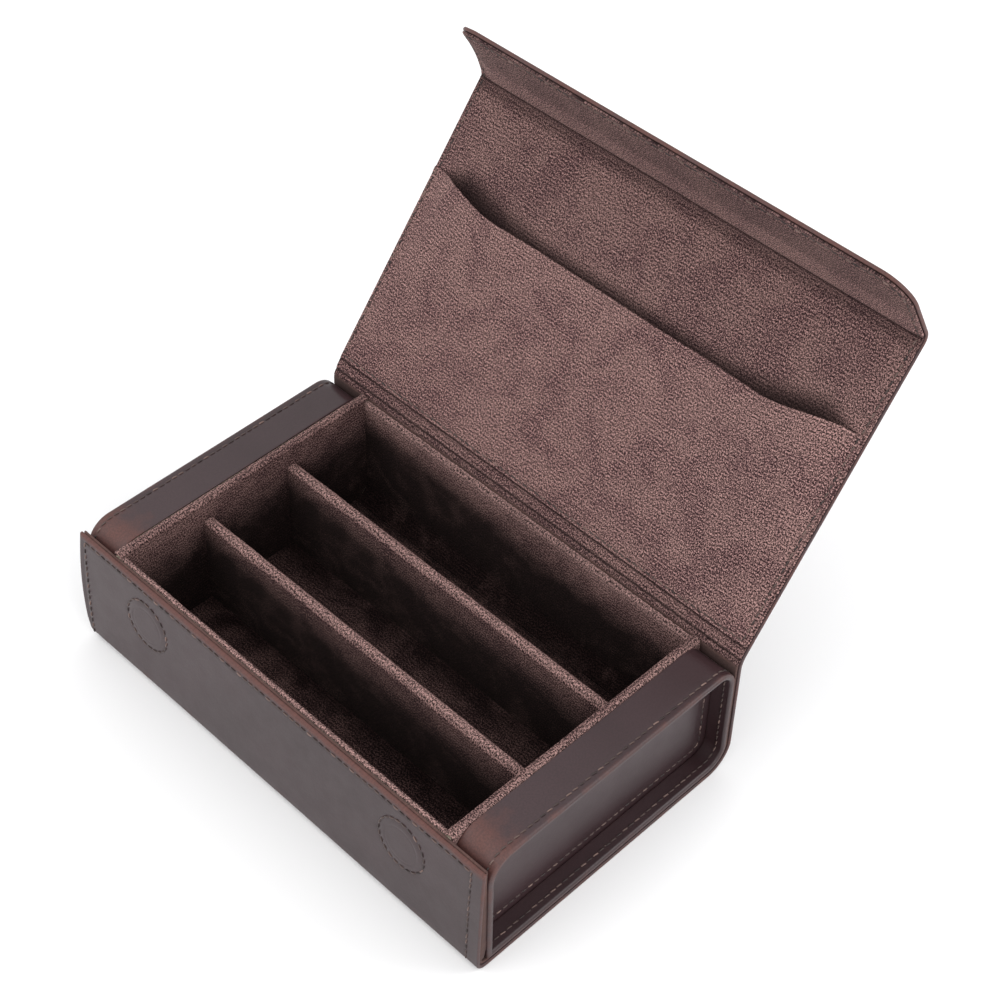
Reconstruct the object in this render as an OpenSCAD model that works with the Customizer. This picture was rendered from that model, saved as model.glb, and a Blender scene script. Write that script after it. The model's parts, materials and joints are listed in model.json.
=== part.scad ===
// Leather flap-over watch box: a rigid suede-lined tray with three long troughs,
// held in one leather wrap that runs round the front, the bottom and the back and
// goes on as the lid and as a short magnetic lip.
// X runs along the troughs, Y from the front to the hinge, Z up.
// The origin is the centre of the underside.

/* [Body] */
// Length of the box over the leather wrap
box_length = 200; // [170:1:260]
// Depth of the box from the front face to the back face
box_depth = 120; // [112:1:160]
// Height of the front panel's top edge
front_height = 51; // [44:0.5:70]
// Height of the leather end bands, a little proud of the front panel
band_height = 52.5; // [45:0.5:72]
// Radius of the fold between front panel and bottom
front_fold_radius = 3; // [2.6:0.1:3.7]
// Radius of the turn between bottom and back
back_fold_radius = 11; // [8:0.5:14]

/* [Materials] */
// Thickness of the leather
leather = 1.4; // [1:0.1:2]
// Thickness of the lining inside the wrap
wrap_lining_thickness = 1; // [0.6:0.1:1.4]
// Thickness of the tray's boards
board = 1.4; // [1:0.1:2]
// Thickness of the suede in the tray and on the lid
suede = 0.8; // [0.5:0.1:1]

/* [Tray] */
// Width of each end, from the wrap's edge to the troughs
end_width = 20; // [16:0.5:30]
// Distance of each divider's middle from the middle of the tray
divider_offset = 19.5; // [15:0.5:24]
// Thickness of a suede-covered divider
divider_thickness = 4.6; // [3.6:0.1:6]
// Height of the dividers' rounded tops
divider_height = 44.3; // [30:0.1:48]

/* [End bands] */
// Depth of the recess between a band's rim and its end panel
recess_depth = 8; // [4:0.5:10]
// Radius of a band's upper front corner
band_front_radius = 10; // [6:0.5:14]
// Radius of a band's upper back corner
band_back_radius = 8.5; // [6:0.5:14]

/* [Lid and lip] */
// Angle by which the lid stands open
lid_open = 128.5; // [100:0.5:150]
// Gap between the front panel and the lip when the box is closed
lip_gap = 0.85; // [0.5:0.05:2]
// Angle by which the lip is folded in from the lid's plane
lip_fold = 67; // [40:1:85]
// Length of the lip from its fold to its edge
lip_length = 33.5; // [31:0.5:40]
// Radius of the lip's outer corners
lip_corner_radius = 12; // [6:1:16]
// Length of the pocket sewn on the lid, up from its lower seam
pocket_length = 79.5; // [60:0.5:100]

/* [Magnets] */
// Diameter of a closing magnet
magnet_diameter = 14; // [10:1:18]
// Distance of each magnet from the middle of the box
magnet_offset = 64; // [50:1:75]
// Distance of the lip's magnets from its fold
magnet_drop = 23.8; // [18:0.1:24.5]

/* [Hidden] */

leather_colour = [0.24, 0.17, 0.15];
suede_colour = [0.42, 0.32, 0.29];
board_colour = [0.62, 0.56, 0.48];
magnet_colour = [0.75, 0.76, 0.78];

$fn = 72;
past = 1;                                   // how far a cut runs past a face
weld = 0.01;                                // overlap of shapes that are joined
fit = 0.1;                                  // gap between a band and the wrap

trough_length = box_length - 2 * end_width;

// The tray's outer faces lie on the wrap's inner faces.
wrap = leather + wrap_lining_thickness;
tray_y = box_depth / 2 - wrap;
tray_inner_y = tray_y - board - suede;
tray_end_x = trough_length / 2 + suede + 2.1;
suede_cap_x = tray_end_x + suede;
suede_lap = 6;                              // how far it folds down outside
tray_top = front_height + 0.2;              // top of the suede on the long walls
floor_z = wrap + board + suede;

// The hinge line runs above the back panel, between its leather and lining.
back_top = 48.9;
hinge_y = box_depth / 2 - 1.25;
hinge_z = band_height + 1.9;
hinge_margin = 1.5;                         // from the hinge line to the stiff lid
fold_margin = 3;                            // from the fold line to each stiff edge

// Heights of the lid's layers over the hinge line, with the lid closed
lining_low = -0.4;
lining_high = lining_low + suede;
lid_board_high = lining_high + 0.8;
lid_leather_high = lid_board_high + leather;
leather_mid = lid_leather_high - leather / 2;
pocket_thickness = 0.9;
lid_length = hinge_y + box_depth / 2 + lip_gap + leather_mid - lining_low;
lid_end = lid_length - fold_margin;

band_thickness = 2.4;                       // leather, board and leather
band_skin = 0.9;
band_rim_x = box_length / 2;
end_panel_x = band_rim_x - recess_depth;
end_panel_thickness = 1.5;
band_bevel = 0.6;

magnet_thickness = 1.6;
magnet_z = hinge_z + leather_mid - magnet_drop;
magnet_room = magnet_diameter / 2 + 0.1;

// ---------- shared shapes ----------

// Rectangle with its own radius at each corner, in the order front bottom,
// back bottom, back top, front top. A radius of 0 leaves a square corner.
module outline(low, high, radii) {
    corners = [low, [high[0], low[1]], high, [low[0], high[1]]];
    inward = [[1, 1], [-1, 1], [-1, -1], [1, -1]];
    polygon([
        for (i = [0:3])
            let (
                across = corners[i] + [inward[i][0] * radii[i], 0],
                up = corners[i] + [0, inward[i][1] * radii[i]]
            )
            each radii[i] == 0 ? [corners[i]] : i % 2 == 0 ? [up, across] : [across, up]
    ]);
    for (i = [0:3])
        if (radii[i] > 0)
            translate(corners[i] + inward[i] * radii[i])
                circle(r = radii[i]);
}

// Extrudes a profile drawn in the Y-Z plane along X, from x0 to x1.
module along_x(x0, x1) {
    translate([x0, 0, 0])
        rotate([90, 0, 90])
            linear_extrude(x1 - x0)
                children();
}

// Radius of the front fold at an inset from the outside of the wrap
function front_radius(inset) = max(front_fold_radius - inset, 0.2);

// The outside of the wrap, shrunk by an inset and cut off level at the top.
module box_outline(inset, top) {
    half = box_depth / 2 - inset;
    radii = [front_radius(inset), back_fold_radius - inset, 0, 0];
    outline([-half, inset], [half, top], radii);
}

// One layer of the wrap: front, bottom and back in one piece.
module wrap_layer(inset, thickness) {
    difference() {
        box_outline(inset, front_height);
        box_outline(inset + thickness, front_height + past);
        translate([0, back_top])
            square([box_depth, front_height]);
    }
}

module at_each_magnet() {
    for (side = [-1, 1])
        translate([side * magnet_offset, 0, 0])
            children();
}

module front_magnet_hole(y0, y1, radius) {
    translate([0, y0, magnet_z])
        rotate([-90, 0, 0])
            cylinder(r = radius, h = y1 - y0);
}

// Arc of a bent strip. It starts at the origin along +X of the sheet and turns
// to the left by angle, with its middle at the given radius.
module bent_strip(radius, thickness, angle) {
    reach = 2 * (radius + thickness);
    translate([0, radius])
        difference() {
            circle(r = radius + thickness / 2);
            circle(r = radius - thickness / 2);
            translate([-reach, -reach])
                square([reach, 2 * reach]);
            rotate(angle)
                translate([0, -reach])
                    square([reach, 2 * reach]);
        }
}

// Places a child that is drawn for the closed lid, with the hinge line as origin.
module on_lid() {
    translate([0, hinge_y, hinge_z])
        rotate([-lid_open, 0, 0])
            children();
}

// Places a child that is drawn for the flat lip, with the fold line as origin.
module on_lip() {
    on_lid()
        translate([0, -lid_length, leather_mid])
            rotate([lip_fold, 0, 0])
                translate([0, 0, -leather_mid])
                    children();
}

// Slab of the lid: s is the distance from the hinge line towards the lip.
module lid_slab(half_x, s0, s1, z0, z1) {
    translate([-half_x, -s1, z0])
        cube([2 * half_x, s1 - s0, z1 - z0]);
}

// Slab of the lip, with rounded corners at its free edge.
module lip_slab(inset, z0, z1) {
    half_x = box_length / 2 - inset;
    tip = lip_length - inset;
    radius = lip_corner_radius - inset;
    translate([0, 0, z0])
        linear_extrude(z1 - z0)
            outline([-half_x, -tip], [half_x, -fold_margin], [radius, radius, 0, 0]);
}

module lip_magnet_hole(side, z0, z1, radius) {
    translate([side * magnet_offset, -magnet_drop, z0])
        cylinder(r = radius, h = z1 - z0);
}

// ---------- leather wrap of the base ----------

module wrap_leather() {
    color(leather_colour)
        along_x(-box_length / 2, box_length / 2)
            wrap_layer(0, leather);
}

module wrap_lining() {
    color(suede_colour)
        difference() {
            along_x(-box_length / 2 + 0.6, box_length / 2 - 0.6)
                wrap_layer(leather, wrap_lining_thickness);
            at_each_magnet()
                front_magnet_hole(-box_depth / 2, -tray_y + past, magnet_room);
        }
}

module front_magnet(side) {
    front = -box_depth / 2 + leather;
    color(magnet_colour)
        translate([side * magnet_offset, 0, 0])
            front_magnet_hole(front, front + magnet_thickness, magnet_diameter / 2);
}

module left_front_magnet() {
    front_magnet(-1);
}

module right_front_magnet() {
    front_magnet(1);
}

// ---------- tray boards ----------

module tray_front_board() {
    color(board_colour)
        difference() {
            along_x(-tray_end_x, tray_end_x)
                outline(
                    [-tray_y, wrap],
                    [-tray_y + board, tray_top - suede],
                    [front_radius(wrap), 0, 0, 0]
                );
            at_each_magnet()
                front_magnet_hole(-tray_y - past, -tray_y + 0.7, magnet_room);
        }
}

module tray_floor_board() {
    color(board_colour)
        translate([-tray_end_x, -tray_y + board, wrap])
            cube([2 * tray_end_x, tray_bend_y() + tray_y - board, board]);
}

// Where the flat floor ends and the board turns up to the back
function tray_bend_y() = box_depth / 2 - back_fold_radius;

// The back board turns under with the wrap and meets the floor board.
module back_layer(inset, thickness, top) {
    difference() {
        box_outline(inset, top);
        box_outline(inset + thickness, top + past);
        translate([-box_depth, -past])
            square([box_depth + tray_bend_y(), box_depth]);
    }
}

module tray_back_board() {
    color(board_colour)
        along_x(-tray_end_x, tray_end_x)
            back_layer(wrap, board, tray_top - suede);
}

// End walls stand between the long walls, inside the back board's bend.
module end_wall(side) {
    color(board_colour)
        on_side(side)
            along_x(trough_length / 2 + suede, tray_end_x)
                box_outline(wrap + board, band_height - suede);
}

module tray_left_board() {
    end_wall(-1);
}

module tray_right_board() {
    end_wall(1);
}

// ---------- tray suede ----------

// The suede on each long wall laps over the board's top edge.
module front_suede() {
    color(suede_colour)
        along_x(-trough_length / 2, trough_length / 2) {
            translate([-tray_inner_y - suede, floor_z - suede])
                square([suede, tray_top - floor_z + suede]);
            translate([-tray_y, tray_top - suede])
                square([board + suede, suede]);
        }
}

module floor_suede() {
    color(suede_colour)
        translate([-trough_length / 2, -tray_inner_y, wrap + board])
            cube([trough_length, tray_inner_y + tray_bend_y(), suede]);
}

module back_suede() {
    color(suede_colour)
        along_x(-trough_length / 2, trough_length / 2) {
            back_layer(wrap + board, suede, tray_top);
            translate([tray_inner_y, tray_top - suede])
                square([board + suede, suede]);
        }
}

// The suede on each end wall covers its inner face and folds over its top.
module end_suede(side) {
    color(suede_colour)
        on_side(side)
            difference() {
                along_x(trough_length / 2, suede_cap_x)
                    box_outline(wrap + board, band_height);
                along_x(trough_length / 2 + suede, tray_end_x)
                    box_outline(wrap + board - past, band_height - suede);
                translate([tray_end_x - weld, -box_depth, -past])
                    cube([box_length, 2 * box_depth, band_height - suede_lap + past]);
            }
}

module left_suede() {
    end_suede(-1);
}

module right_suede() {
    end_suede(1);
}

// ---------- dividers ----------

module divider_board(y) {
    core = divider_thickness - 2 * suede;
    color(board_colour)
        translate([-trough_length / 2, y - core / 2, floor_z])
            cube([trough_length, core, divider_height - divider_thickness / 2 - floor_z]);
}

module divider_suede(y) {
    core = divider_thickness - 2 * suede;
    shoulder = divider_height - divider_thickness / 2;
    color(suede_colour)
        along_x(-trough_length / 2, trough_length / 2)
            difference() {
                union() {
                    translate([y - divider_thickness / 2, floor_z])
                        square([divider_thickness, shoulder - floor_z]);
                    translate([y, shoulder])
                        circle(d = divider_thickness);
                }
                translate([y - core / 2, floor_z - past])
                    square([core, shoulder - floor_z + past]);
            }
}

module front_divider_board() {
    divider_board(-divider_offset);
}

module front_divider_suede() {
    divider_suede(-divider_offset);
}

module rear_divider_board() {
    divider_board(divider_offset);
}

module rear_divider_suede() {
    divider_suede(divider_offset);
}

// ---------- end bands ----------

// Outline of a band, shrunk by an inset.
module band_outline(inset) {
    half = tray_y - fit - inset;
    low = wrap + fit + inset;
    bottom_back = back_fold_radius - wrap - fit - inset;
    outline(
        [-half, low],
        [half, band_height - inset],
        [
            max(1 - inset, 0.2),
            max(bottom_back, 4.4),
            max(band_back_radius - inset, 5),
            max(band_front_radius - inset, 6.5)
        ]
    );
}

module band_ring(outer_inset, inner_inset) {
    difference() {
        band_outline(outer_inset);
        band_outline(inner_inset);
    }
}

// Mirrors the right-hand end to the left.
module on_side(side) {
    mirror([side > 0 ? 0 : 1, 0, 0])
        children();
}

// The leather covers the band's outside, turns round its rim and runs back
// along the recess to the end panel.
module band_leather(side) {
    board_end = band_rim_x - band_skin;
    color(leather_colour)
        on_side(side)
            difference() {
                union() {
                    along_x(suede_cap_x, band_rim_x - band_bevel)
                        band_ring(0, band_thickness);
                    along_x(band_rim_x - 2 * band_bevel, band_rim_x)
                        band_ring(band_bevel, band_thickness - band_bevel);
                }
                along_x(suede_cap_x - past, board_end)
                    band_ring(band_skin, band_thickness - band_skin);
                along_x(suede_cap_x - past, end_panel_x)
                    band_outline(band_skin);
            }
}

module band_board(side) {
    color(board_colour)
        on_side(side)
            along_x(suede_cap_x, band_rim_x - band_skin)
                band_ring(band_skin, band_thickness - band_skin);
}

module end_block(side) {
    color(board_colour)
        on_side(side)
            along_x(suede_cap_x, end_panel_x - end_panel_thickness)
                band_outline(band_thickness - band_skin);
}

module end_panel(side) {
    color(leather_colour)
        on_side(side)
            along_x(end_panel_x - end_panel_thickness, end_panel_x)
                band_outline(band_thickness - band_skin);
}

module left_band_leather() {
    band_leather(-1);
}

module left_band_board() {
    band_board(-1);
}

module left_end_block() {
    end_block(-1);
}

module left_end_panel() {
    end_panel(-1);
}

module right_band_leather() {
    band_leather(1);
}

module right_band_board() {
    band_board(1);
}

module right_end_block() {
    end_block(1);
}

module right_end_panel() {
    end_panel(1);
}

// ---------- hinge ----------

// Bent strip from the top of the back panel to the lid, for a layer whose middle
// is at y in the back panel and at z over the hinge line in the closed lid.
module hinge_strip(inset, y, z, thickness) {
    lean = lid_open - 90;
    // The layer's lines in the back panel and in the open lid cross this far
    // below the hinge line, along the lid.
    s_cross = (hinge_y - y + z * cos(lean)) / sin(lean);
    z_cross = hinge_z - z * sin(lean) - s_cross * cos(lean);
    tangent = hinge_margin + s_cross;
    radius = tangent / tan(lean / 2);
    start = z_cross - tangent;
    along_x(-box_length / 2 + inset, box_length / 2 - inset) {
        translate([y - thickness / 2, back_top])
            square([thickness, start - back_top + weld]);
        translate([y, start])
            mirror([1, 0])
                rotate(90)
                    bent_strip(radius, thickness, lean);
    }
}

module hinge_leather() {
    color(leather_colour)
        hinge_strip(0, box_depth / 2 - leather / 2, leather_mid, leather);
}

module hinge_lining() {
    mid = (lining_low + lining_high) / 2;
    color(suede_colour)
        hinge_strip(0.6, tray_y + suede / 2, mid, suede);
}

// ---------- lid ----------

module lid_leather() {
    color(leather_colour)
        on_lid()
            lid_slab(box_length / 2, hinge_margin, lid_end, lid_board_high, lid_leather_high);
}

module lid_board() {
    color(board_colour)
        on_lid()
            lid_slab(box_length / 2 - 2.5, 5, lid_end - 1, lining_high, lid_board_high);
}

module lid_suede() {
    color(suede_colour)
        on_lid()
            lid_slab(box_length / 2 - 0.6, hinge_margin, lid_end, lining_low, lining_high);
}

module pocket_panel() {
    lower_seam = 4.5;
    low = lining_low - pocket_thickness;
    color(suede_colour)
        on_lid()
            lid_slab(box_length / 2 - 1.2, lower_seam, lower_seam + pocket_length, low, lining_low);
}

// ---------- lip ----------

// Bent strip over the lip's fold, for a layer whose middle is at height z.
module fold_strip(inset, z, thickness) {
    half_turn = tan(lip_fold / 2);
    radius = fold_margin / half_turn - (leather_mid - z);
    on_lid()
        along_x(-box_length / 2 + inset, box_length / 2 - inset)
            translate([-lid_end, z])
                rotate(180)
                    bent_strip(radius, thickness, lip_fold);
}

module lip_fold_leather() {
    color(leather_colour)
        fold_strip(0, leather_mid, leather);
}

module lip_fold_suede() {
    color(suede_colour)
        fold_strip(0.6, (lining_low + lining_high) / 2, suede);
}

module lip_leather() {
    color(leather_colour)
        on_lip()
            lip_slab(0, lid_board_high, lid_leather_high);
}

module lip_board() {
    color(board_colour)
        on_lip()
            difference() {
                lip_slab(2.5, lining_high, lid_board_high);
                for (side = [-1, 1])
                    lip_magnet_hole(side, lining_high - past, lid_board_high + past, magnet_room);
            }
}

module lip_suede() {
    color(suede_colour)
        on_lip()
            difference() {
                lip_slab(0.6, lining_low, lining_high);
                for (side = [-1, 1])
                    lip_magnet_hole(side, lining_low + 0.4, lining_high + past, magnet_room);
            }
}

module lip_magnet(side) {
    color(magnet_colour)
        on_lip()
            lip_magnet_hole(side, lining_low + 0.4, lid_board_high, magnet_diameter / 2);
}

module left_lip_magnet() {
    lip_magnet(-1);
}

module right_lip_magnet() {
    lip_magnet(1);
}

wrap_leather();
wrap_lining();
tray_front_board();
tray_floor_board();
tray_back_board();
tray_left_board();
tray_right_board();
front_suede();
floor_suede();
back_suede();
left_suede();
right_suede();
front_divider_board();
front_divider_suede();
rear_divider_board();
rear_divider_suede();
left_band_leather();
left_band_board();
left_end_block();
left_end_panel();
right_band_leather();
right_band_board();
right_end_block();
right_end_panel();
left_front_magnet();
right_front_magnet();
hinge_leather();
hinge_lining();
lid_leather();
lid_board();
lid_suede();
pocket_panel();
lip_fold_leather();
lip_fold_suede();
lip_leather();
lip_board();
lip_suede();
left_lip_magnet();
right_lip_magnet();
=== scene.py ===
"""Looks of the leather watch box: leather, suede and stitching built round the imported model."""

import json
import math
import random

import bmesh
import bpy
import numpy as np
from mathutils import Matrix, Vector


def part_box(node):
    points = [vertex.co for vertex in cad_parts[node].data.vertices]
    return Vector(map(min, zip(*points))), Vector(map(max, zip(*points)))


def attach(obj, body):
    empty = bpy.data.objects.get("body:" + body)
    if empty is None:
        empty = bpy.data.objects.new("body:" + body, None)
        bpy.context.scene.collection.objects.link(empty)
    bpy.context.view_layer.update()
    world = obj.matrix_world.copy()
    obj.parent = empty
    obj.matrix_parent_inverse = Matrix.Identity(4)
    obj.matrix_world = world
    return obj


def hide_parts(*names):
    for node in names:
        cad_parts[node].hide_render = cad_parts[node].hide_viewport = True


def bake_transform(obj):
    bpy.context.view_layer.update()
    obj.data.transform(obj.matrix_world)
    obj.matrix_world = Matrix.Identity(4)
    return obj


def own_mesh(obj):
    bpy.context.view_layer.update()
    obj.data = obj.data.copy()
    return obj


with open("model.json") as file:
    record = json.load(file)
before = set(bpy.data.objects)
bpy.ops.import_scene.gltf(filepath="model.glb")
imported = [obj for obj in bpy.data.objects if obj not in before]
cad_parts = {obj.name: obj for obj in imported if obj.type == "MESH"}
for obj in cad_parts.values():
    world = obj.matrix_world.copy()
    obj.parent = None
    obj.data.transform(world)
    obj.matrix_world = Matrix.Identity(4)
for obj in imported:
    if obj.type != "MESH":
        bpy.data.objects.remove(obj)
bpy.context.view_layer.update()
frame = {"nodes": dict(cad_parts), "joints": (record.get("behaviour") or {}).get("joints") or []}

# ---------- sizes, in metres, from the frame ----------

MM = 0.001
joints = {j["name"]: j for j in frame["joints"]}
HINGE = Vector(joints["lid_hinge"]["pos_m"])
FOLD = Vector(joints["lip_fold"]["pos_m"])
LIP_TURN = -math.radians(joints["lip_fold"]["range_deg"][0])

wrap_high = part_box("wrap_leather")[1]
HALF_X, HALF_Y, FRONT_TOP = wrap_high
BACK_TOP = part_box("wrap_lining")[1].z
LINING_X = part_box("wrap_lining")[1].x
suede_low, suede_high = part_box("right_suede")
TROUGH_X, CAP_X, BAND_TOP = suede_low.x, suede_high.x, suede_high.z
SUEDE_LAP = 6 * MM
FLOOR_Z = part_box("floor_suede")[1].z
TRAY_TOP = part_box("front_suede")[1].z
PANEL_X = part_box("right_end_panel")[1].x
divider_low, divider_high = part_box("rear_divider_suede")
DIVIDER_Y = (divider_low.y + divider_high.y) / 2
DIVIDER_WIDTH = divider_high.y - divider_low.y

LEATHER = 1.4 * MM              # thickness, here and in the next four lines
LINING = 1.0 * MM
SUEDE = 0.8 * MM
POCKET = 0.9 * MM
LIP_BOARD = 0.78 * MM
LIP_BOARD_N = 1.1 * MM          # the lip board's middle above the leather's
SUEDE_N = 1.2 * MM              # the suede's middle above the leather's at the hinge line
PADDED_N = 0.7 * MM             # how much further it stands over the lid's board
FRONT_RADIUS = 4.2 * MM
FRONT_LEAN = 2.4 * MM           # the front panel's foot stands out
LEAN_POWER = 1.6                # how fast the lean grows towards the foot
EDGE_BOW = 1.8 * MM             # the front panel's left edge bows out
FOOT_CUT = 2.4 * MM             # how far that edge is cut back at its foot
BACK_RADIUS = 11 * MM
LEATHER_MID = 1.9 * MM          # the leather's middle over the hinge line, with the lid closed
HINGE_MARGIN = 1.5 * MM
FOLD_MARGIN = 3 * MM
LIP_LENGTH = 33.5 * MM
LIP_CORNER = 12 * MM
LIP_FLARE = 2.2 * MM            # the lip's left end bows out
POCKET_START = 4.5 * MM         # from the hinge's crease to the pocket
POCKET_LENGTH = 79.5 * MM
MAGNET_X = 64 * MM
MAGNET_Z = 32.5 * MM
CIRCLE = 10.5 * MM              # radius of the stitched circle round a magnet
MAGNET_RISE = 0.22 * MM         # the leather stands out over a magnet
CIRCLE_DIP = 0.12 * MM          # and is pressed in at the circle
HIDE_WAVES = 0.07 * MM          # unevenness of the hide

UPRIGHT = 0.75                  # the pile's pattern on the lip is drawn longer by 1 / this
RUFFLE = 0.05                   # height of the ruffled tufts, in mm

STITCH = 2.9 * MM               # stitch pitch
THREAD = 0.30 * MM              # thread radius

GROOVE = 0.7 * MM               # half width of the dip that a seam pulls in
GROOVE_DEPTH = 0.16 * MM
PINCH = 4.5 * MM                # how far in from an edge its seam draws the layers together
SEAM_ROWS = np.array([-1.3, -0.7, -0.35, 0, 0.35, 0.7, 1.3]) * MM   # where a dip needs points
FRONT_SEAM = 3 * MM             # from the front panel's top edge
END_SEAM = (2.4 * MM, 5.4 * MM)  # from the wrap's left and right edges
LID_SEAM = 2.5 * MM             # from the lid's and the lip's edges
BAND_SEAM = 2.9 * MM            # from the band's rim
PANEL_SEAM = 3.1 * MM           # from the end panel's border
POCKET_SEAM = 1.4 * MM          # from the pocket's edges


# ---------- lines that sheets follow ----------

class Track:
    """A line of straights and arcs in a plane, walked by its length v. Offset n is to the left."""

    def __init__(self, start, heading):
        self.runs = []
        self.length = 0.0
        self.end = np.array(start, float)
        self.heading = math.radians(heading)

    def _add(self, length, curve):
        self.runs.append((self.length, length, self.end, self.heading, curve))
        self.length += length
        a, b = self._on(self.runs[-1], np.array([length]), 0.0)
        self.end = np.array([a[0], b[0]])
        self.heading += curve * length

    def ahead(self, length):
        self._add(length, 0.0)
        return self

    def turn(self, radius, degrees):
        """Turns left by a positive angle and right by a negative one."""
        self._add(radius * math.radians(abs(degrees)), math.copysign(1 / radius, degrees))
        return self

    @staticmethod
    def _on(run, along, n):
        _, _, start, heading, curve = run
        angle = heading + curve * along
        if curve == 0:
            a = start[0] + along * math.cos(heading) - n * math.sin(heading)
            b = start[1] + along * math.sin(heading) + n * math.cos(heading)
            return a + 0 * angle, b + 0 * angle
        radius = 1 / curve
        a = start[0] - radius * math.sin(heading) + (radius - n) * np.sin(angle)
        b = start[1] + radius * math.cos(heading) - (radius - n) * np.cos(angle)
        return a, b

    def at(self, v, n=0.0):
        """Plane coordinates at length v and offset n."""
        v, n = np.broadcast_arrays(np.asarray(v, float), np.asarray(n, float))
        a, b = np.zeros(v.shape), np.zeros(v.shape)
        for i, run in enumerate(self.runs):
            first, last = i == 0, i == len(self.runs) - 1
            mine = ((v >= run[0]) | first) & ((v < run[0] + run[1]) | last)
            a[mine], b[mine] = self._on(run, v[mine] - run[0], n[mine])
        return a, b

    def steps(self, v0, v1, straight, degrees=7):
        """Lengths from v0 to v1: close together round the arcs, wide on the straights."""
        out = [v0, v1]
        for start, length, _, _, curve in self.runs:
            lo, hi = max(v0, start), min(v1, start + length)
            if hi > lo:
                step = straight if curve == 0 else min(straight, math.radians(degrees) / abs(curve))
                out.extend(np.linspace(lo, hi, max(2, math.ceil((hi - lo) / step) + 1)))
        return out


def in_yz(c, a, b):
    """Across is X, and the track lies in the Y-Z plane."""
    return np.stack([c, a, b], -1)


def leaning(c, a, b):
    """As in_yz, but the front panel stands a little out at its foot."""
    front = smooth((-a - 0.6 * HALF_Y) / (0.4 * HALF_Y))
    foot = 1 - np.clip(b / FRONT_TOP, 0, 1) ** LEAN_POWER
    return np.stack([c, a - FRONT_LEAN * front * foot, b], -1)


def in_xz(side):
    """Across is Y, and the track lies in the X-Z plane, mirrored for the left side."""
    return lambda c, a, b: np.stack([side * a, c, b], -1)


def spread(values, gap=0.02 * MM):
    """Sorted values with near duplicates dropped."""
    out = []
    for value in sorted(values):
        if not out or value - out[-1] > gap:
            out.append(value)
    return np.array(out)


def smooth(x):
    x = np.clip(x, 0, 1)
    return x * x * (3 - 2 * x)


def hump(x, width):
    return np.exp(-((x / width) ** 2))


# ---------- meshes ----------

def make_object(name, points, faces, material, sheet=None, wear_and_shade=None, sharp=50):
    """Mesh object with outward normals. sheet and the values of wear and of painted light and shade are
    kept as attributes for the materials.
    """
    mesh = bpy.data.meshes.new(name)
    mesh.from_pydata([tuple(p) for p in points], [], [tuple(int(i) for i in f) for f in faces])
    sheet = points if sheet is None else sheet
    wear_and_shade = np.zeros(len(points)) if wear_and_shade is None else wear_and_shade
    coords = mesh.attributes.new("sheet", "FLOAT_VECTOR", "POINT")
    coords.data.foreach_set("vector", np.asarray(sheet, np.float32).ravel())
    worn = mesh.attributes.new("wear_and_shade", "FLOAT", "POINT")
    worn.data.foreach_set("value", np.asarray(wear_and_shade, np.float32))
    work = bmesh.new()
    work.from_mesh(mesh)
    bmesh.ops.remove_doubles(work, verts=work.verts, dist=1e-7)
    bmesh.ops.dissolve_degenerate(work, edges=work.edges, dist=1e-7)
    bmesh.ops.recalc_face_normals(work, faces=work.faces)
    work.to_mesh(mesh)
    work.free()
    mesh.shade_smooth()
    mesh.set_sharp_from_angle(angle=math.radians(sharp))
    mesh.materials.append(material)
    obj = bpy.data.objects.new(name, mesh)
    bpy.context.scene.collection.objects.link(obj)
    return obj


def grid_faces(rows, columns, first=0, closed=False):
    """Quads over a grid of points, row by row. closed joins the last column to the first."""
    across = columns if closed else columns - 1
    r, c = np.meshgrid(np.arange(rows - 1), np.arange(across), indexing="ij")
    r, c = r.ravel(), c.ravel()
    d = (c + 1) % columns
    corners = [r * columns + c, r * columns + d, (r + 1) * columns + d, (r + 1) * columns + c]
    return np.stack(corners, -1) + first


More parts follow.
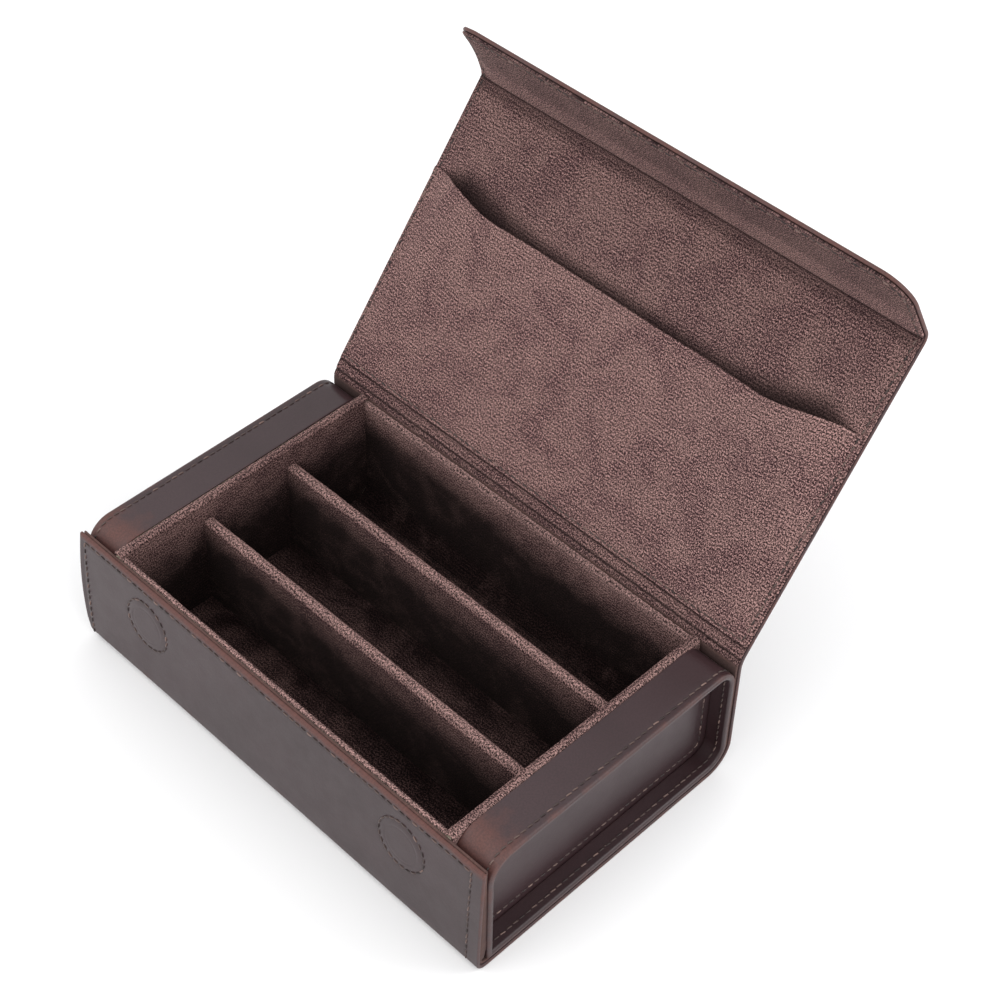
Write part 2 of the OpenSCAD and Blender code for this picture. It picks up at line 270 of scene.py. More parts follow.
class Sheet:
    """A sheet of even thickness along a track, with rounded edges.

    lo and hi are its limits across at a length v. middle gives the offset of its middle from the
    track, and warp moves points along it. seams are distances from the rim that need points, and
    groove says where thread pulls the sheet in. A joined end stays square."""

    def __init__(self, track, v0, v1, lo, hi, middle, thickness, place=in_yz, corner=0.0,
                 joined=(False, False), closed=False, edge=0.45 * MM, seams=(), groove=None,
                 relief=None, warp=None):
        self.track, self.v0, self.v1, self.place = track, v0, v1, place
        self.lo = lo if callable(lo) else lambda v: 0 * v + lo
        self.hi = hi if callable(hi) else lambda v: 0 * v + hi
        self.middle = middle if callable(middle) else lambda c, v, d: 0 * v + middle
        self.thickness, self.corner, self.joined, self.closed = thickness, corner, joined, closed
        self.edge, self.seams, self.relief, self.warp = edge, seams, relief, warp
        self.groove = groove or self.plain_groove
        if corner:
            self.full = hi
            self.hi = self.corner_half
            self.lo = lambda v: -self.corner_half(v)

    def corner_half(self, v):
        """Half width at v, where the corners at v1 are rounded."""
        into = np.clip(v - (self.v1 - self.corner), 0, self.corner)
        return self.full - self.corner + np.sqrt(np.maximum(self.corner ** 2 - into ** 2, 0))

    def plain_groove(self, c, v, d):
        return sum((hump(d - seam, GROOVE) for seam in self.seams), 0 * d)

    def rim(self, c, v):
        """Distance to the nearest free edge."""
        d = np.full(np.shape(v), 1.0)
        if self.corner:
            d = self.full - np.abs(c)
        elif not self.closed:
            d = np.minimum(c - self.lo(v), self.hi(v) - c)
        if not self.joined[0]:
            d = np.minimum(d, v - self.v0)
        if not self.joined[1]:
            d = np.minimum(d, self.v1 - v)
        if self.corner:
            qx = np.abs(c) - (self.full - self.corner)
            qv = v - (self.v1 - self.corner)
            d = np.where((qx > 0) & (qv > 0), self.corner - np.hypot(qx, qv), d)
        return np.maximum(d, 0)

    def offset(self, c, v, side, lift=0.0):
        """Offset from the track of its left (side 1) or right (side -1) face."""
        d = self.rim(c, v)
        left = 1 - np.minimum(d / self.edge, 1)
        half = self.thickness / 2 * np.sqrt(np.maximum(1 - left * left, 0))
        half = half - GROOVE_DEPTH * self.groove(c, v, d) * np.minimum(d / self.edge, 1)
        n = self.middle(c, v, d) + side * (half + lift)
        if self.relief:
            n = n + self.relief(c, v, side) * np.minimum(d / self.edge, 1)
        return n

    def point(self, c, v, side, lift=0.0):
        c, v = np.broadcast_arrays(np.asarray(c, float), np.asarray(v, float))
        along = self.warp(c, v) if self.warp else v
        a, b = self.track.at(along, self.offset(c, v, side, lift))
        return self.place(c, a, b)

    def up(self, c, v, side):
        """Directions away from a face, not yet of unit length."""
        return self.point(c, v, side, 0.1 * MM) - self.point(c, v, side)

    def near_rim(self):
        """Distances from an edge where the shape needs points."""
        near = list(self.edge * np.array([0, 0.06, 0.2, 0.5, 1.0, 1.6]))
        for seam in self.seams:
            near += list(seam + SEAM_ROWS)
        return near

    def build(self, name, material, step=5 * MM, across_step=None, extra_c=(), extra_v=(), wear_and_shade=None,
              rim_wear=0.45, texture_v=None):
        """Both faces as one closed mesh. texture_v turns v into the materials' coordinate."""
        v0, v1 = self.v0, self.v1
        near = self.near_rim()
        vs = self.track.steps(v0, v1, step) + list(extra_v)
        vs += [v0 + d for d in near if not self.joined[0]] + [v1 - d for d in near if not self.joined[1]]
        if self.corner:
            vs += [v1 - self.corner * (1 - math.sin(t)) for t in np.linspace(0, math.pi / 2, 14)]
        vs = spread(v for v in vs if v0 <= v <= v1)
        lo, hi = self.lo(vs), self.hi(vs)
        width = float(np.max(hi - lo))
        shares = list(np.linspace(0, 1, max(3, math.ceil(width / (across_step or step)) + 1)))
        shares += [(c + width / 2 * (not self.closed)) / width for c in extra_c]
        if not self.closed:
            shares += [d / width for d in near] + [1 - d / width for d in near]
        shares = spread([s for s in shares if 0 <= s <= 1], 0.02 * MM / width)
        c = lo[:, None] + (hi - lo)[:, None] * shares[None, :]
        v = np.repeat(vs[:, None], len(shares), 1)
        rows, columns = c.shape
        points = np.concatenate([self.point(c, v, side).reshape(-1, 3) for side in (1, -1)])
        faces = list(grid_faces(rows, columns)) + list(grid_faces(rows, columns, rows * columns))
        for end, joined in enumerate(self.joined):
            if joined:
                ids = (rows - 1) * columns * end + np.arange(columns)
                other = ids + rows * columns
                faces += list(np.stack([ids[:-1], ids[1:], other[1:], other[:-1]], -1))
        sheet = np.stack([c, texture_v(v) if texture_v else v, 0 * c], -1).reshape(-1, 3)
        # Rubbed rims, then the piece's own values: negative ones are painted shade, positive ones wear
        # on leather and painted light on suede.
        worn = rim_wear * hump(self.rim(c, v), 0.7 * MM)
        if wear_and_shade:
            own = wear_and_shade(c, v)
            worn = np.where(own < 0, own, np.maximum(worn, own))
        sheet, worn = np.tile(sheet, (2, 1)), np.tile(worn.ravel(), 2)
        return make_object(name, points, faces, material, sheet, worn)


# ---------- stitching ----------

class Seam:
    """Gathers thread stitches along lines and makes them one piece."""

    SIDES = 6
    AT = np.array([0.05, 0.2, 0.5, 0.8, 0.95])
    RISE = np.array([-0.34, 0.08, 0.16, 0.08, -0.34]) * MM
    GIRTH = np.array([0.55, 0.95, 1.0, 0.95, 0.55])

    def __init__(self, seed):
        self.points, self.faces, self.sheet, self.count = [], [], [], 0
        self.random = random.Random(seed)

    def sew(self, line, normals, closed=False):
        """Stitches of even pitch along a dense line on a surface."""
        line, normals = np.asarray(line, float), np.asarray(normals, float)
        if closed:
            line, normals = np.vstack([line, line[:1]]), np.vstack([normals, normals[:1]])
        walked = np.concatenate([[0], np.cumsum(np.linalg.norm(np.diff(line, axis=0), axis=1))])
        count = max(1, round(walked[-1] / STITCH))
        pitch = walked[-1] / count
        where = (np.arange(count)[:, None] + self.AT[None, :]) * pitch

        def on(values):
            return np.stack([np.interp(where, walked, values[:, k]) for k in range(3)], -1)

        centre, up = on(line), on(normals)
        up /= np.linalg.norm(up, axis=-1, keepdims=True)
        along = centre[:, -1:] - centre[:, :1]
        along = along / np.linalg.norm(along, axis=-1, keepdims=True)
        sideways = np.cross(along, up)
        sideways /= np.linalg.norm(sideways, axis=-1, keepdims=True)
        gauss = self.random.gauss
        wobble = np.array([[gauss(0, 0.03), gauss(0, 0.05)] for _ in range(count)])
        slant = (self.AT - 0.5)[None, :] * 0.34 * MM + wobble[:, :1] * MM
        rise = self.RISE[None, :] * (1 + wobble[:, 1:])
        centre = centre + up * rise[..., None] + sideways * slant[..., None]
        angles = np.arange(self.SIDES) * 2 * math.pi / self.SIDES
        ring = (
            sideways[:, :, None, :] * np.cos(angles)[None, None, :, None]
            + up[:, :, None, :] * np.sin(angles)[None, None, :, None]
        )
        tube = centre[:, :, None, :] + ring * (THREAD * self.GIRTH)[None, :, None, None]
        rings = len(self.AT)
        turns = np.broadcast_to(np.arange(self.SIDES) / self.SIDES, (count, rings, self.SIDES))
        share = np.broadcast_to(self.AT[None, :, None], turns.shape)
        number = np.broadcast_to(np.arange(count)[:, None, None] + self.count, turns.shape)
        for k in range(count):
            first = (self.count + k) * rings * self.SIDES
            last = first + (rings - 1) * self.SIDES
            self.faces += list(grid_faces(rings, self.SIDES, first, closed=True))
            self.faces += [list(range(end, end + self.SIDES)) for end in (first, last)]
        self.points.append(tube.reshape(-1, 3))
        self.sheet.append(np.stack([share, turns, number], -1).reshape(-1, 3))
        self.count += count

    def sew_on(self, sheet, corners, side, closed=False, step=1 * MM):
        """Stitches on a sheet's face along straight runs between (across, length) corners."""
        corners = list(corners)
        c, v = [], []
        for (c0, v0), (c1, v1) in zip(corners, corners[1:] + corners[:1] * closed):
            n = max(1, math.ceil(math.hypot(c1 - c0, v1 - v0) / step))
            c += list(np.linspace(c0, c1, n, endpoint=False))
            v += list(np.linspace(v0, v1, n, endpoint=False))
        if not closed:
            c.append(corners[-1][0])
            v.append(corners[-1][1])
        c, v = np.array(c), np.array(v)
        self.sew(sheet.point(c, v, side), sheet.up(c, v, side), closed)

    def build(self, name):
        """All the stitches as one piece."""
        points, sheet = np.vstack(self.points), np.vstack(self.sheet)
        piece = make_object(name, points, self.faces, THREAD_LOOK, sheet, sharp=80)
        as_piece(piece, "leather")
        return piece


# ---------- materials ----------

class Look:
    """A node material with a few short calls for what its colour, gloss and bump need."""

    def __init__(self, name):
        self.material = bpy.data.materials.new(name)
        self.material.use_nodes = True
        self.tree = self.material.node_tree
        self.tree.nodes.clear()
        self.shader = self.node("ShaderNodeBsdfPrincipled")
        output = self.node("ShaderNodeOutputMaterial")
        self.link(self.shader.outputs["BSDF"], output.inputs["Surface"])
        self.normal = None

    def node(self, kind, **settings):
        made = self.tree.nodes.new(kind)
        for key, value in settings.items():
            setattr(made, key, value)
        return made

    def link(self, source, socket):
        self.tree.links.new(source, socket)

    def put(self, socket, value):
        if isinstance(value, bpy.types.NodeSocket):
            self.link(value, socket)
        else:
            socket.default_value = value

    def fill(self, made, **inputs):
        """Values or links for a node's inputs, by name, with _ for a space."""
        for name, value in inputs.items():
            self.put(made.inputs[name.replace("_", " ")], value)
        return made.outputs

    def attribute(self, name, output="Vector"):
        return self.node("ShaderNodeAttribute", attribute_name=name).outputs[output]

    def scaled(self, vector, scale):
        made = self.node("ShaderNodeVectorMath", operation="MULTIPLY")
        self.put(made.inputs[0], vector)
        made.inputs[1].default_value = scale
        return made.outputs["Vector"]

    def noise(self, vector, size, detail=3.0, rough=0.5, distort=0.0):
        """Noise with features of about the given size in metres."""
        made = self.node("ShaderNodeTexNoise")
        return self.fill(made, Vector=vector, Scale=1 / size, Detail=detail, Roughness=rough,
                         Distortion=distort)["Fac"]

    def cells(self, vector, size, feature="F1"):
        made = self.node("ShaderNodeTexVoronoi", feature=feature)
        return self.fill(made, Vector=vector, Scale=1 / size)["Distance"]

    def math(self, operation, a, b=0.0, c=0.0):
        made = self.node("ShaderNodeMath", operation=operation)
        for socket, value in zip(made.inputs, (a, b, c)):
            self.put(socket, value)
        return made.outputs["Value"]

    def ranged(self, value, low, high, to_low=0.0, to_high=1.0):
        made = self.node("ShaderNodeMapRange", interpolation_type="SMOOTHSTEP")
        for socket, item in zip(made.inputs, (value, low, high, to_low, to_high)):
            self.put(socket, item)
        return made.outputs["Result"]

    def mix(self, factor, a, b, blend="MIX"):
        made = self.node("ShaderNodeMix", data_type="RGBA", blend_type=blend)
        self.put(made.inputs["Factor"], factor)
        for key, value in (("A", a), ("B", b)):
            socket = next(s for s in made.inputs if s.name == key and s.type == "RGBA")
            self.put(socket, (*value, 1) if isinstance(value, tuple) else value)
        return next(s for s in made.outputs if s.type == "RGBA")

    def bump(self, height, strength, distance):
        made = self.node("ShaderNodeBump")
        if self.normal is not None:
            self.link(self.normal, made.inputs["Normal"])
        self.normal = self.fill(made, Strength=strength, Distance=distance, Height=height)["Normal"]

    def finish(self, colour, roughness, specular=0.5, **constants):
        self.fill(self.shader, Base_Color=colour, Roughness=roughness, Specular_IOR_Level=specular,
                  **constants)
        if self.normal is not None:
            self.link(self.normal, self.shader.inputs["Normal"])
        return self.material


def times(factor, colour):
    return tuple(factor * k for k in colour)


def leather_look(name, dark, light, worn, roughness=0.40, circles=False):
    """Oiled pull-up leather: dark and satin, lighter and redder where it is bent or cut."""
    look = Look(name)
    sheet = look.attribute("sheet")
    wear_and_shade = look.attribute("wear_and_shade", "Fac")
    clouds = look.noise(sheet, 45 * MM, 3, 0.5, 0.5)
    patches = look.noise(sheet, 8 * MM, 5, 0.6)
    grain = look.noise(sheet, 0.7 * MM, 3, 0.6)
    pores = look.cells(sheet, 1.1 * MM, "SMOOTH_F1")
    scuffs = look.noise(look.scaled(sheet, (0.12, 1.0, 1.0)), 2.2 * MM, 3, 0.65, 0.4)
    colour = look.mix(look.ranged(clouds, 0.25, 0.75), dark, light)
    ragged = look.math("MULTIPLY_ADD", patches, 0.9, -0.45)
    worn_here = look.ranged(look.math("ADD", wear_and_shade, ragged), 0.12, 0.75)
    colour = look.mix(worn_here, colour, worn)
    colour = look.mix(look.ranged(grain, 0.35, 0.65, 0.35, 0), colour, times(0.4, dark))
    gloss = look.ranged(patches, 0.3, 0.7, roughness - 0.02, roughness + 0.04)
    gloss = look.math("ADD", gloss, look.math("MULTIPLY", worn_here, 0.22))
    look.bump(scuffs, 0.08, 0.10 * MM)
    look.bump(pores, 0.12, 0.12 * MM)
    look.bump(grain, 0.25, 0.08 * MM)
    if circles:
        press_circles(look, sheet)
    return look.finish(colour, gloss, 0.5)


def press_circles(look, sheet):
    """Faint rings that a magnet and its stitching press into the leather."""
    across = look.node("ShaderNodeSeparateXYZ")
    look.link(sheet, across.inputs["Vector"])
    dx = look.math("SUBTRACT", look.math("ABSOLUTE", across.outputs["X"]), MAGNET_X)
    dv = look.math("SUBTRACT", across.outputs["Y"], MAGNET_V)
    squares = look.math("MULTIPLY_ADD", dx, dx, look.math("MULTIPLY", dv, dv))
    reach = look.math("SQRT", squares)
    for radius, width, strength in ((CIRCLE, 0.9 * MM, 0.5), (CIRCLE - 3.2 * MM, 0.8 * MM, 0.25)):
        off = look.math("ABSOLUTE", look.math("SUBTRACT", reach, radius))
        look.bump(look.ranged(off, 0.0, width), strength, 0.2 * MM)


def suede_look(name, shade_tint=None):
    """Microfibre suede: a short ruffled pile with soft patches and faint rows from its backing.

    A value of 1 is a rubbed edge and, beside the lip's fold, painted light; -1 is painted shade at the
    bottom of a crease. With a shade tint, the value is painted light by depth: 0 is painted shade deep
    in a trough and 1 the lit crest."""
    look = Look(name)
    sheet = look.attribute("sheet")
    wear_and_shade = look.attribute("wear_and_shade", "Fac")
    patches = look.noise(sheet, 24 * MM, 3, 0.6, 1.0)
    small = look.noise(sheet, 7 * MM, 3, 0.6, 0.6)
    pile = look.noise(sheet, 0.57 * MM, 2, 0.7)
    fibres = look.noise(look.scaled(sheet, (1.0, 0.6, 1.0)), 0.36 * MM, 1, 0.8)
    wave = look.node("ShaderNodeTexWave", bands_direction="Y", wave_profile="SIN")
    rows = look.fill(wave, Vector=sheet, Scale=0.314 / (1.4 * MM), Distortion=1.6, Detail=1.0,
                     Detail_Scale=1.4)["Fac"]
    tone = look.math("MULTIPLY_ADD", patches, 0.65, look.math("MULTIPLY", small, 0.35))
    colour = look.mix(look.ranged(tone, 0.38, 0.60), PILE_DARK, PILE_LIGHT)
    # Lighter pile: painted light on the lip beside its fold, and on the tray's crests, which are also
    # rubbed.
    colour = look.mix(look.ranged(wear_and_shade, 0.55, 1.0, 0, 0.75), colour, PILE_RUBBED_AND_LIT)
    tips = look.math("MULTIPLY_ADD", fibres, 0.5, look.math("MULTIPLY", pile, 0.5))
    tips = look.math("MULTIPLY_ADD", rows, 0.035, tips)
    gaps = look.ranged(tips, 0.45, 0.54, 0.97, 0)
    colour = look.mix(gaps, colour, times(0.12, PILE_DARK))
    bright = look.ranged(tips, 0.53, 0.61, 0, 0.9)
    colour = look.mix(bright, colour, times(2.5, PILE_LIGHT))
    if shade_tint is None:
        # Painted shade where the value is negative: creases, the pocket's mouth and the lip's fold.
        painted_shade = look.math("MAXIMUM", look.math("MULTIPLY", wear_and_shade, -1.0), 0.0)
        colour = look.mix(painted_shade, colour, times(0.10, PILE_DARK))
    else:
        # The tray's pile gets painted shade by depth, a little patchy.
        ragged = look.math("MULTIPLY_ADD", look.math("SUBTRACT", tone, 0.5), 0.7, wear_and_shade)
        shade = look.mix(look.math("MAXIMUM", ragged, 0.0), shade_tint, (1.0, 1.0, 1.0))
        colour = look.mix(1.0, colour, shade, "MULTIPLY")
    look.bump(small, 0.15, 0.5 * MM)
    look.bump(tips, 0.8, 0.3 * MM)
    sheen = 0.08 if shade_tint is None else 0.03
    return look.finish(colour, 0.95, 0.10, Sheen_Weight=sheen, Sheen_Roughness=0.5,
                       Sheen_Tint=SHEEN)


def thread_look():
    look = Look("waxed_thread")
    sheet = look.attribute("sheet")
    split = look.node("ShaderNodeSeparateXYZ")
    look.link(sheet, split.inputs["Vector"])
    twist = look.math("MULTIPLY_ADD", split.outputs["X"], 3.0, split.outputs["Y"])
    ply = look.math("ABSOLUTE", look.math("SINE", look.math("MULTIPLY", twist, 2 * math.pi)))
    shade = look.noise(look.scaled(sheet, (0.0, 0.0, 1.0)), 1.7, 1)
    colour = look.mix(look.ranged(shade, 0.42, 0.68), THREAD_DARK, THREAD_LIGHT)
    colour = look.mix(look.ranged(ply, 0.0, 0.4, 0.6, 0), colour, THREAD_GAP)
    look.bump(ply, 0.6, 0.06 * MM)
    return look.finish(colour, 0.5, 0.5)


def plain_look(name, dark, light, size, roughness, stretch=(1, 1, 1), **constants):
    """Board, wood or metal of a hidden piece: two tones in a stretched noise."""
    look = Look(name)
    place = look.node("ShaderNodeTexCoord").outputs["Object"]
    fibres = look.noise(look.scaled(place, stretch), size, 4, 0.6)
    look.bump(fibres, 0.2, 0.1 * MM)
    colour = look.mix(look.ranged(fibres, 0.3, 0.7), dark, light)
    return look.finish(colour, roughness, 0.4, **constants)


OILED_DARK = (0.027, 0.0115, 0.0135)
OILED_LIGHT = (0.040, 0.0195, 0.0225)
PULLED_UP = (0.105, 0.038, 0.030)
EDGE_DARK = (0.035, 0.017, 0.015)
EDGE_LIGHT = (0.080, 0.042, 0.037)
EDGE_WORN = (0.11, 0.055, 0.046)
PILE_DARK = (0.089, 0.045, 0.048)
PILE_LIGHT = (0.183, 0.108, 0.100)
# Lighter pile for rubbed crests and for painted light.
PILE_RUBBED_AND_LIT = (0.22, 0.140, 0.128)
# Tint of the painted shade deep in the tray's troughs.
DEEP_SHADE = (0.07, 0.06, 0.06)
THREAD_DARK = (0.020, 0.010, 0.009)
THREAD_LIGHT = (0.19, 0.12, 0.10)
THREAD_GAP = (0.012, 0.007, 0.006)
SHEEN = (0.80, 0.62, 0.58, 1)
MAGNET_V = FRONT_TOP - MAGNET_Z

LEATHER_LOOK = leather_look("oiled_leather", OILED_DARK, OILED_LIGHT, PULLED_UP)
CASE_LOOK = leather_look("oiled_leather_case", OILED_DARK, OILED_LIGHT, PULLED_UP, 0.43, circles=True)
LINING_LOOK = leather_look("rough_lining", EDGE_DARK, EDGE_LIGHT, EDGE_WORN, 0.85)
SUEDE_LOOK = suede_look("brown_suede")
# The tray's suede with painted shade by depth.
TRAY_SHADED_LOOK = suede_look("tray_suede_painted_shade", DEEP_SHADE)
THREAD_LOOK = thread_look()
BOARD_LOOK = plain_look("grey_board", (0.30, 0.25, 0.19), (0.42, 0.36, 0.28), 1.5 * MM, 0.9)
BLOCK_LOOK = plain_look("block_wood", (0.36, 0.21, 0.10), (0.52, 0.34, 0.18), 3 * MM, 0.7, (1, 0.08, 1))
MAGNET_LOOK = plain_look("nickel", (0.50, 0.49, 0.46), (0.62, 0.61, 0.58), 2 * MM, 0.3, Metallic=1.0)


# ---------- the leather and its lining from the front edge to the lip ----------

def spine():
    """Middle of the leather from the front edge to the lip's tip, and where its parts start."""
    track = Track((-HALF_Y + LEATHER / 2, FRONT_TOP), -90)
    track.ahead(FRONT_TOP - FRONT_RADIUS).turn(FRONT_RADIUS - LEATHER / 2, 90)
    track.ahead(2 * HALF_Y - FRONT_RADIUS - BACK_RADIUS).turn(BACK_RADIUS - LEATHER / 2, 90)
    back_start = track.length
    reach = FOLD - HINGE
    lean = math.atan2(reach.y, reach.z) - math.asin(LEATHER_MID / math.hypot(reach.y, reach.z))
    lid_length = reach.y * math.sin(lean) + reach.z * math.cos(lean)
    # The lines of the back panel and of the lid cross this far below the hinge line.
    crossing = (HINGE.y + LEATHER_MID * math.cos(lean) - HALF_Y + LEATHER / 2) / math.sin(lean)
    cross_z = HINGE.z - LEATHER_MID * math.sin(lean) - crossing * math.cos(lean)
    tangent = HINGE_MARGIN + crossing
    track.ahead(cross_z - tangent - BACK_RADIUS)
    marks = {"back": back_start, "bend": track.length}
    track.turn(tangent / math.tan(lean / 2), -math.degrees(lean))
    marks["lid"] = track.length - HINGE_MARGIN          # s = 0 on the lid
    track.ahead(lid_length - FOLD_MARGIN - HINGE_MARGIN)
    marks["fold"] = track.length
    track.turn(FOLD_MARGIN / math.tan(LIP_TURN / 2), math.degrees(LIP_TURN))
    marks["lip"] = track.length - FOLD_MARGIN           # s = 0 on the lip
    track.ahead(LIP_LENGTH - FOLD_MARGIN)
    marks["tip"] = track.length
    return track, marks


SPINE, MARK = spine()
BACK_TOP_V = MARK["back"] + BACK_TOP - BACK_RADIUS
LINING_OFFSET = LEATHER / 2 + LINING / 2
FOLD_MID = (MARK["fold"] + MARK["lip"] + FOLD_MARGIN) / 2


def pinch(d):
    """1 at a stitched edge, where the layers are drawn together, and 0 further in."""
    return 1 - smooth(d / PINCH)


def on_lid(v):
    """0 on the base and 1 on the lid and the lip."""
    return smooth((v - MARK["bend"]) / (MARK["lid"] + 8 * MM - MARK["bend"]))


def flare(c, v):
    """The lip's left end bows out between the fold and the tip."""
    share = np.clip((v - FOLD_MID) / (MARK["tip"] - FOLD_MID), 0, 1)
    end = smooth((-c - HALF_X + 10 * MM) / (8.5 * MM))
    return -LIP_FLARE * 4 * share * (1 - share) * end


def leather_middle(c, v, d):
    """Offset of the leather's middle from the spine."""
    return 0.22 * MM * pinch(d) * on_lid(v) + flare(c, v)


def suede_middle(c, v, d):
    """A ridge and a crease run beside the hinge line, and a valley along the lip's fold."""
    base = SUEDE_N + PADDED_N * on_lid(v)
    ridge = 0.35 * MM * hump(v - MARK["bend"] - 1.6 * MM, 0.8 * MM)
    crease = -0.30 * MM * hump(v - MARK["lid"] + 0.2 * MM, 0.6 * MM)
    valley = -0.45 * MM * hump(v - FOLD_MID, 0.8 * MM)
    return base + ridge + crease + valley - 0.42 * MM * pinch(d) * on_lid(v) + flare(c, v)


def case_relief(c, v, side):
    """Magnets press the leather out inside their stitched circles, and no hide is quite flat."""
    reach = np.hypot(np.abs(c) - MAGNET_X, v - MAGNET_V)
    raised = MAGNET_RISE * smooth((CIRCLE - reach) / (2.2 * MM))
    raised = raised - CIRCLE_DIP * hump(reach - CIRCLE, 0.8 * MM)
    hide = np.sin(c / (17 * MM) + 1.3 * np.sin(v / (23 * MM))) * np.sin(v / (14 * MM) + c / (41 * MM))
    return -raised - HIDE_WAVES * hide if side < 0 else 0 * c


def left_edge(v):
    """Bowed along the front panel, and cut round at its foot."""
    bow = EDGE_BOW * np.sin(math.pi * np.clip(v / FRONT_TOP, 0, 1))
    return -HALF_X - bow + FOOT_CUT * hump(v - FRONT_TOP, 4 * MM)


def case_groove(c, v, d):
    """On the base the left and right seams have distances of their own from the edge."""
    side = np.where(c < 0, c - left_edge(v), HALF_X - c)
    seam = np.where(c < 0, *END_SEAM)
    ends = hump(side - seam, GROOVE) * (v > FRONT_SEAM - 0.3 * MM)
    front = hump(v - FRONT_SEAM, GROOVE) * (side > seam - 0.3 * MM)
    return np.where(v > MARK["bend"], hump(side - LID_SEAM, GROOVE), np.maximum(ends, front))


def case_wear(c, v):
    """Pull-up where the leather bends, and along the front edge."""
    folds = [FRONT_TOP - FRONT_RADIUS + 2 * MM, MARK["bend"] + 3 * MM]
    worn = sum(0.35 * hump(v - fold, 2.0 * MM) for fold in folds)
    return np.minimum(worn + 0.75 * hump(v, 2.4 * MM), 1)


def lining_fill(c, v, side):
    """The lining fills the gap behind the foot of the front panel."""
    foot = 1 - np.clip((FRONT_TOP - v) / FRONT_TOP, 0, 1) ** LEAN_POWER
    return FRONT_LEAN * foot * (1 - smooth((v - FRONT_TOP + 6 * MM) / (4 * MM))) * (side > 0)


def lid_shade(c, v):
    """Painted shade on the pile: in the hinge's creases, at the lining's lower edge, behind and above
    the pocket's mouth and under the lip's fold.
    """
    creases = 0.75 * hump(v - MARK["bend"] - 0.1 * MM, 0.45 * MM)
    creases = creases + 0.70 * hump(v - MARK["lid"] + 0.2 * MM, 0.55 * MM)
    creases = creases + 0.70 * hump(v - POCKET_V + 0.5 * MM, 0.5 * MM)
    creases = creases + 0.15 * (v < POCKET_V) + 0.45 * (1 - smooth((v - BACK_TOP_V) / (1.5 * MM)))
    creases = creases + 0.40 * smooth((v - SPLIT + 3 * MM) / (5 * MM))
    above = v - pocket_warp(c, POCKET_V + POCKET_LENGTH)
    gape = mouth_lift(c) / MOUTH_LIFT
    behind = (1 - smooth(above / (9.5 * MM * gape + 0.6 * MM))) * (above > -8 * MM) * gape ** 0.3
    return -np.minimum(creases + 0.9 * behind + 0.17 * smooth(above / (6 * MM)), 0.95)


def lip_shade(c, v):
    """Painted shade along the fold's valley, a painted highlight beside it and painted shade a little
    towards the lip's edge.
    """
    below = 0.50 * (1 - smooth((v - FOLD_MID) / (1.2 * MM)))
    valley = np.maximum(below, 0.92 * hump(v - FOLD_MID, 1.2 * MM))
    lit = 0.85 * hump(v - FOLD_MID - 8 * MM, 4.5 * MM)
    return lit - 0.36 * smooth((v - FOLD_MID - 5 * MM) / (9 * MM)) - valley


def upright_pile(v):
    """Seen along the lip, the tufts hide one another, so their pattern is drawn longer."""
    return np.minimum(v, FOLD_MID) + UPRIGHT * np.maximum(v - FOLD_MID, 0)


def ruffle(c, v, side):
    """Tufts of the pile, a little uneven, on the suede's bends."""
    first = np.sin(c / (0.21 * MM) + 1.7 * np.sin(v / (0.33 * MM)))
    second = np.sin(c / (0.37 * MM) - v / (0.29 * MM) + 2.1 * np.sin(c / (1.9 * MM)))
    slow = np.sin(c / (5.3 * MM) + 0.8 * np.sin(c / (2.1 * MM)))
    return side * MM * (RUFFLE * first + RUFFLE * second + RUFFLE * slow)


# ---------- leather, lining and suede that run from the front edge to the lip ----------

SPLIT = MARK["fold"] - 2 * MM       # where the lid's pieces meet the lip's
LINING_INSET = HALF_X - LINING_X

case = Sheet(SPINE, 0.0, SPLIT, left_edge, HALF_X, leather_middle, LEATHER, place=leaning,
             joined=(False, True), seams=(LID_SEAM, END_SEAM[1]), groove=case_groove, relief=case_relief)
lip_cover = Sheet(SPINE, SPLIT, MARK["tip"], 0, HALF_X, leather_middle, LEATHER, corner=LIP_CORNER,
                  joined=(True, False), seams=(LID_SEAM,))
lining = Sheet(SPINE, 0.0, BACK_TOP_V, -LINING_X, LINING_X, LINING_OFFSET, LINING, place=leaning,
               edge=0.4 * MM, relief=lining_fill)
lid_lining = Sheet(SPINE, BACK_TOP_V, SPLIT, -LINING_X, LINING_X, suede_middle, SUEDE,
                   joined=(False, True), edge=0.35 * MM, seams=(LID_SEAM - LINING_INSET,))
lip_lining = Sheet(SPINE, SPLIT, MARK["tip"] - LINING_INSET, 0, LINING_X, suede_middle, SUEDE,
                   corner=LIP_CORNER - LINING_INSET, joined=(True, False), edge=0.35 * MM,
                   seams=(LID_SEAM - LINING_INSET,))


def spine_point(v):
    y, z = SPINE.at(np.array([v]))
    return (0.0, float(y[0]), float(z[0]))


def across_hinge(obj):
    """Bakes the piece's transform into its mesh. Its crease is built bent from just under the hinge line
    to just above it.
    """
    lean = Vector(spine_point(MARK["fold"])) - Vector(spine_point(MARK["lid"] + 5 * MM))
    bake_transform(obj)


def across_fold(obj):
    """Bakes the piece's transform into its mesh. The lip's fold is built bent over the length of its
    arc.
    """
    end = spine_point(MARK["lip"] + FOLD_MARGIN)
    spine_point(MARK["fold"])
    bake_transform(obj)


def as_piece(obj, slot, *nodes):
    if nodes:
        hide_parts(*nodes)


